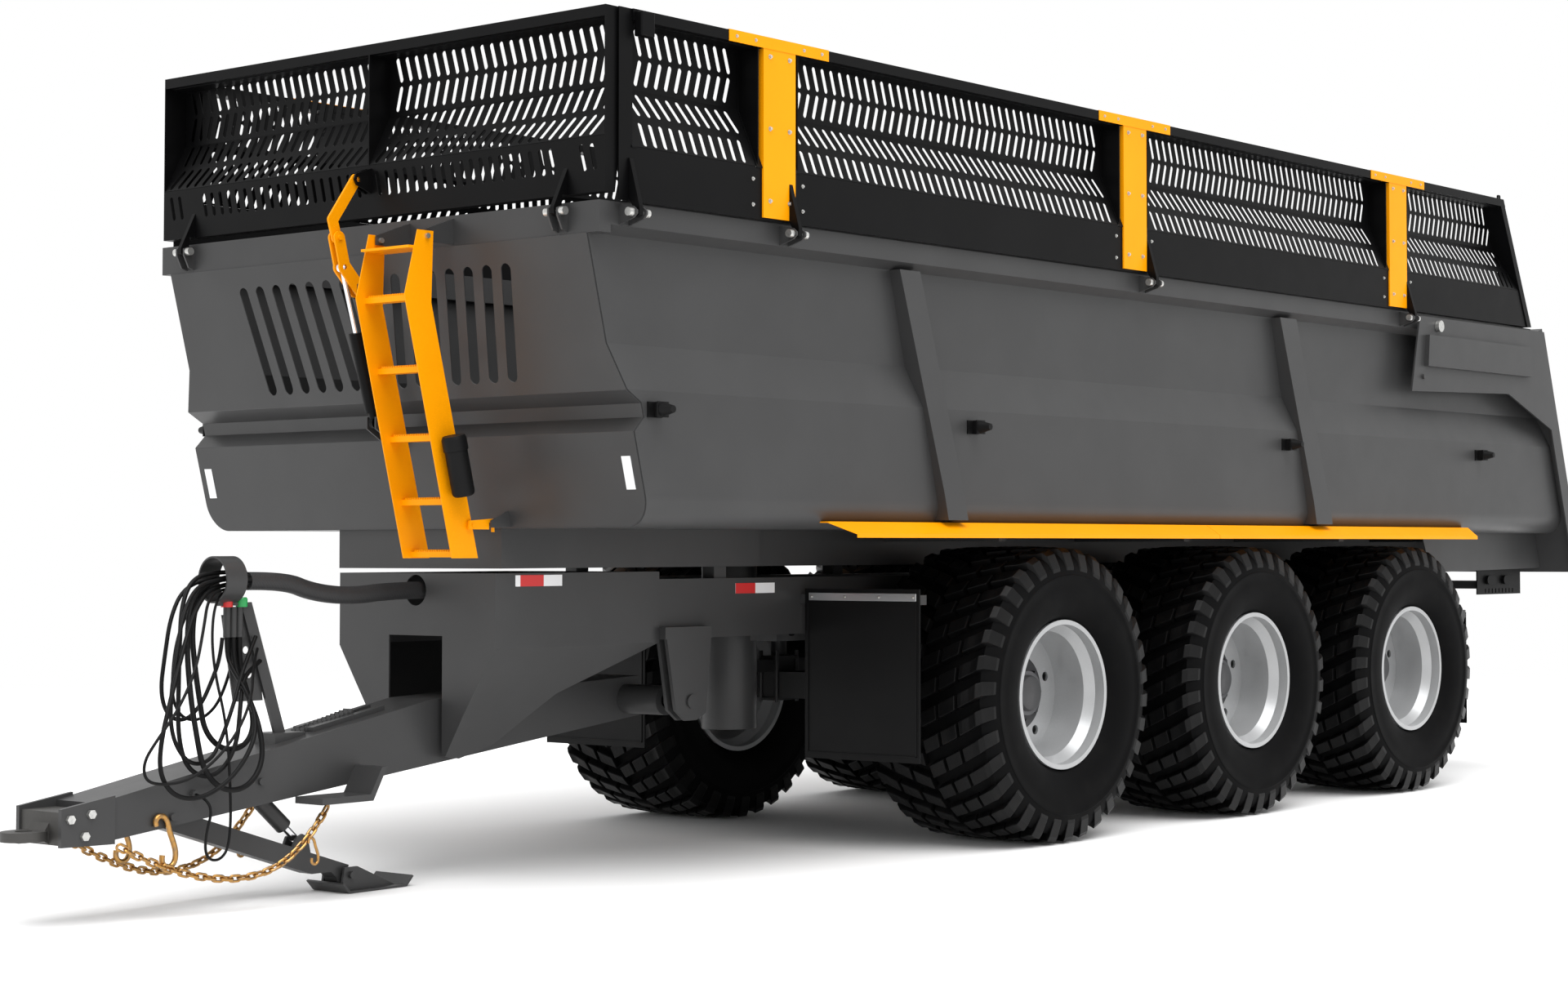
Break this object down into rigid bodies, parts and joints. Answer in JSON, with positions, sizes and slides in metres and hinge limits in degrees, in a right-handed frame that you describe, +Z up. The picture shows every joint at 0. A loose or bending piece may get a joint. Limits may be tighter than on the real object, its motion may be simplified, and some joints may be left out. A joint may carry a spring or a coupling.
{
  "type": "grain cart",
  "caption": "Tipping grain trailer on wide wheels with a leaning hopper, fold-down slotted side extensions, a tilting front flap, a top-hung tailgate, a telescopic ram and a ring drawbar.",
  "frame": {"origin": "under the middle of the overall length and width, on the ground", "axes": "+X towards the tailgate along the length, +Z up, the ladder's side is -Y"},
  "size_m": [11.6221, 3.372, 4.002],
  "materials": {
    "tyre": "matt block tread rubber",
    "wheel_silver": "silver wheel paint",
    "yellow_paint": "satin yellow paint",
    "black_paint": "satin black paint",
    "black_rubber": "matt rubber",
    "zinc_steel": "zinc plated",
    "chrome_rod": "chrome plated",
    "gold_zinc": "yellow zinc plated",
    "forged_steel": "forged and worn",
    "grey_paint": "satin graphite paint"
  },
  "bodies": {
    "chassis": {"chassis_frame": "grey_paint", "front_housing": "grey_paint", "axle_beams": "grey_paint", "suspension_units": "grey_paint", "mudflaps": "black_rubber", "light_bars": "black_paint"},
    "drawbar": {"drawbar_beam": "grey_paint", "tow_eye": "forged_steel", "hitch_bolts": "zinc_steel", "hose_stand": "grey_paint", "safety_chains": "gold_zinc", "hose_bundle": "black_rubber", "hose_loop_1": "black_rubber", "hose_loop_2": "black_rubber", "hose_loop_3": "black_rubber", "hose_loop_4": "black_rubber", "hose_loop_5": "black_rubber"},
    "stand": {"stand_leg": "grey_paint"},
    "foot": {"stand_foot": "grey_paint"},
    "stand_barrel": {"stand_cylinder_barrel": "grey_paint"},
    "stand_rod": {"stand_cylinder_rod": "chrome_rod"},
    "hopper": {"hopper_shell": "grey_paint", "front_wall": "grey_paint", "top_rails": "grey_paint", "side_ribs": "grey_paint", "side_guards": "yellow_paint", "hopper_subframe": "grey_paint", "rubber_bumpers": "black_rubber", "hinge_bolts": "zinc_steel"},
    "ladder": {"ladder": "yellow_paint"},
    "latch": {"ladder_latch": "yellow_paint"},
    "front_flap": {"front_panel": "black_paint"},
    "lower_lever": {"lever_lower": "yellow_paint"},
    "upper_lever": {"lever_upper": "yellow_paint"},
    "flap_barrel": {"flap_cylinder_barrel": "black_paint"},
    "flap_rod": {"flap_cylinder_rod": "chrome_rod"},
    "left_side": {"left_panel": "black_paint", "left_posts": "yellow_paint"},
    "right_side": {"right_panel": "black_paint", "right_posts": "yellow_paint"},
    "tailgate": {"tailgate": "grey_paint"},
    "hatch": {"grain_hatch": "grey_paint"},
    "ram": {"ram_barrel": "grey_paint"},
    "wheel_left_1": {"tyre_left_1": "tyre", "wheel_left_1": "wheel_silver"},
    "wheel_left_2": {"tyre_left_2": "tyre", "wheel_left_2": "wheel_silver"},
    "wheel_left_3": {"tyre_left_3": "tyre", "wheel_left_3": "wheel_silver"},
    "wheel_right_1": {"tyre_right_1": "tyre", "wheel_right_1": "wheel_silver"},
    "wheel_right_2": {"tyre_right_2": "tyre", "wheel_right_2": "wheel_silver"},
    "wheel_right_3": {"tyre_right_3": "tyre", "wheel_right_3": "wheel_silver"},
    "ram_stage_1": {"ram_stage_1": "chrome_rod"},
    "ram_stage_2": {"ram_stage_2": "chrome_rod"},
    "ram_stage_3": {"ram_stage_3": "chrome_rod"},
    "ram_stage_4": {"ram_stage_4": "chrome_rod"},
    "ram_stage_5": {"ram_stage_5": "chrome_rod"}
  },
  "joints": [
    {"name": "left_wheel_1_spin", "type": "hinge", "parent": "chassis", "child": "wheel_left_1", "pos_m": [-0.44105, -1.172, 0.795], "axis": [0, 1, 0], "continuous": true},
    {"name": "left_wheel_2_spin", "type": "hinge", "parent": "chassis", "child": "wheel_left_2", "pos_m": [1.49395, -1.172, 0.795], "axis": [0, 1, 0], "continuous": true},
    {"name": "left_wheel_3_spin", "type": "hinge", "parent": "chassis", "child": "wheel_left_3", "pos_m": [3.42895, -1.172, 0.795], "axis": [0, 1, 0], "continuous": true},
    {"name": "right_wheel_1_spin", "type": "hinge", "parent": "chassis", "child": "wheel_right_1", "pos_m": [-0.44105, 1.172, 0.795], "axis": [0, 1, 0], "continuous": true},
    {"name": "right_wheel_2_spin", "type": "hinge", "parent": "chassis", "child": "wheel_right_2", "pos_m": [1.49395, 1.172, 0.795], "axis": [0, 1, 0], "continuous": true},
    {"name": "right_wheel_3_spin", "type": "hinge", "parent": "chassis", "child": "wheel_right_3", "pos_m": [3.42895, 1.172, 0.795], "axis": [0, 1, 0], "continuous": true},
    {"name": "hopper_tip", "type": "hinge", "parent": "chassis", "child": "hopper", "pos_m": [5.34395, 0, 1.5], "axis": [0, 1, 0], "range_deg": [0, 42]},
    {"name": "ram_lean", "type": "hinge", "parent": "chassis", "child": "ram", "pos_m": [-1.40605, 0, 1.15], "axis": [0, 1, 0], "range_deg": [0, 21]},
    {"name": "ram_stage_1_out", "type": "slide", "parent": "ram", "child": "ram_stage_1", "axis": [0, 0, 1], "range_m": [0, 0.9533]},
    {"name": "ram_stage_2_out", "type": "slide", "parent": "ram_stage_1", "child": "ram_stage_2", "axis": [0, 0, 1], "range_m": [0, 0.9533]},
    {"name": "ram_stage_3_out", "type": "slide", "parent": "ram_stage_2", "child": "ram_stage_3", "axis": [0, 0, 1], "range_m": [0, 0.9533]},
    {"name": "ram_stage_4_out", "type": "slide", "parent": "ram_stage_3", "child": "ram_stage_4", "axis": [0, 0, 1], "range_m": [0, 0.9533]},
    {"name": "ram_stage_5_out", "type": "slide", "parent": "ram_stage_4", "child": "ram_stage_5", "axis": [0, 0, 1], "range_m": [0, 0.9533]},
    {"name": "tailgate_swing", "type": "hinge", "parent": "hopper", "child": "tailgate", "pos_m": [3.66895, 0, 3.03], "axis": [0, -1, 0], "range_deg": [0, 90]},
    {"name": "grain_hatch_lift", "type": "slide", "parent": "tailgate", "child": "hatch", "axis": [-0.3196, 0, 0.9475], "range_m": [0, 0.36]},
    {"name": "left_panel_fold", "type": "hinge", "parent": "hopper", "child": "left_side", "pos_m": [1.49395, -1.64, 3.06], "axis": [1, 0, 0], "range_deg": [0, 179]},
    {"name": "right_panel_fold", "type": "hinge", "parent": "hopper", "child": "right_side", "pos_m": [1.49395, 1.64, 3.06], "axis": [-1, 0, 0], "range_deg": [0, 179]},
    {"name": "front_flap_tilt", "type": "hinge", "parent": "hopper", "child": "front_flap", "pos_m": [-3.97605, 0, 3.07], "axis": [0, -1, 0], "range_deg": [0, 60]},
    {"name": "lower_lever_swing", "type": "hinge", "parent": "hopper", "child": "lower_lever", "pos_m": [-3.97605, 0, 2.8], "axis": [0, -1, 0], "range_deg": [0, 44.83]},
    {"name": "upper_lever_swing", "type": "hinge", "parent": "lower_lever", "child": "upper_lever", "pos_m": [-4.10205, 0, 3.036], "axis": [0, -1, 0], "range_deg": [-29.45, 0]},
    {"name": "flap_cylinder_swing", "type": "hinge", "parent": "hopper", "child": "flap_barrel", "pos_m": [-3.86405, 0, 2.18], "axis": [0, -1, 0], "range_deg": [0, 5.82]},
    {"name": "flap_cylinder_stroke", "type": "slide", "parent": "flap_barrel", "child": "flap_rod", "axis": [-0.2726, 0, 0.9621], "range_m": [-0.076, 0]},
    {"name": "ladder_swing", "type": "hinge", "parent": "hopper", "child": "ladder", "pos_m": [-4.10605, 0, 3], "axis": [0, 1, 0], "range_deg": [0, 20]},
    {"name": "ladder_latch_lift", "type": "hinge", "parent": "ladder", "child": "latch", "pos_m": [-3.83605, -0.64, 1.69], "axis": [0, -1, 0], "range_deg": [0, 30]},
    {"name": "drawbar_suspension", "type": "hinge", "parent": "chassis", "child": "drawbar", "pos_m": [-2.33605, 0, 0.815], "axis": [0, 1, 0], "range_deg": [0, 4], "deforming": ["hose_bundle"]},
    {"name": "stand_swing", "type": "hinge", "parent": "drawbar", "child": "stand", "pos_m": [-5.09105, 0, 0.43], "axis": [0, -1, 0], "range_deg": [0, 10]},
    {"name": "foot_tilt", "type": "hinge", "parent": "stand", "child": "foot", "pos_m": [-4.05605, 0, 0.078], "axis": [0, -1, 0], "range_deg": [-20, 20]},
    {"name": "stand_cylinder_swing", "type": "hinge", "parent": "drawbar", "child": "stand_barrel", "pos_m": [-4.62605, 0, 0.55], "axis": [0, -1, 0], "range_deg": [0, 17.89]},
    {"name": "stand_cylinder_stroke", "type": "slide", "parent": "stand_barrel", "child": "stand_rod", "axis": [0.7318, 0, -0.6815], "range_m": [-0.0638, 0]}
  ],
  "couplings": [
    {"joint": "ram_lean", "follows": "hopper_tip", "ratio": 0.48},
    {"joint": "ram_stage_1_out", "follows": "hopper_tip", "m_per_rad": 1.2977},
    {"joint": "ram_stage_2_out", "follows": "hopper_tip", "m_per_rad": 1.2977},
    {"joint": "ram_stage_3_out", "follows": "hopper_tip", "m_per_rad": 1.2977},
    {"joint": "ram_stage_4_out", "follows": "hopper_tip", "m_per_rad": 1.2977},
    {"joint": "ram_stage_5_out", "follows": "hopper_tip", "m_per_rad": 1.2977},
    {"joint": "lower_lever_swing", "follows": "front_flap_tilt", "ratio": 0.7464},
    {"joint": "upper_lever_swing", "follows": "front_flap_tilt", "ratio": -0.49},
    {"joint": "flap_cylinder_swing", "follows": "front_flap_tilt", "ratio": 0.0961},
    {"joint": "flap_cylinder_stroke", "follows": "front_flap_tilt", "m_per_rad": -0.0716},
    {"joint": "stand_cylinder_swing", "follows": "stand_swing", "ratio": 1.7835},
    {"joint": "stand_cylinder_stroke", "follows": "stand_swing", "m_per_rad": -0.3601}
  ]
}
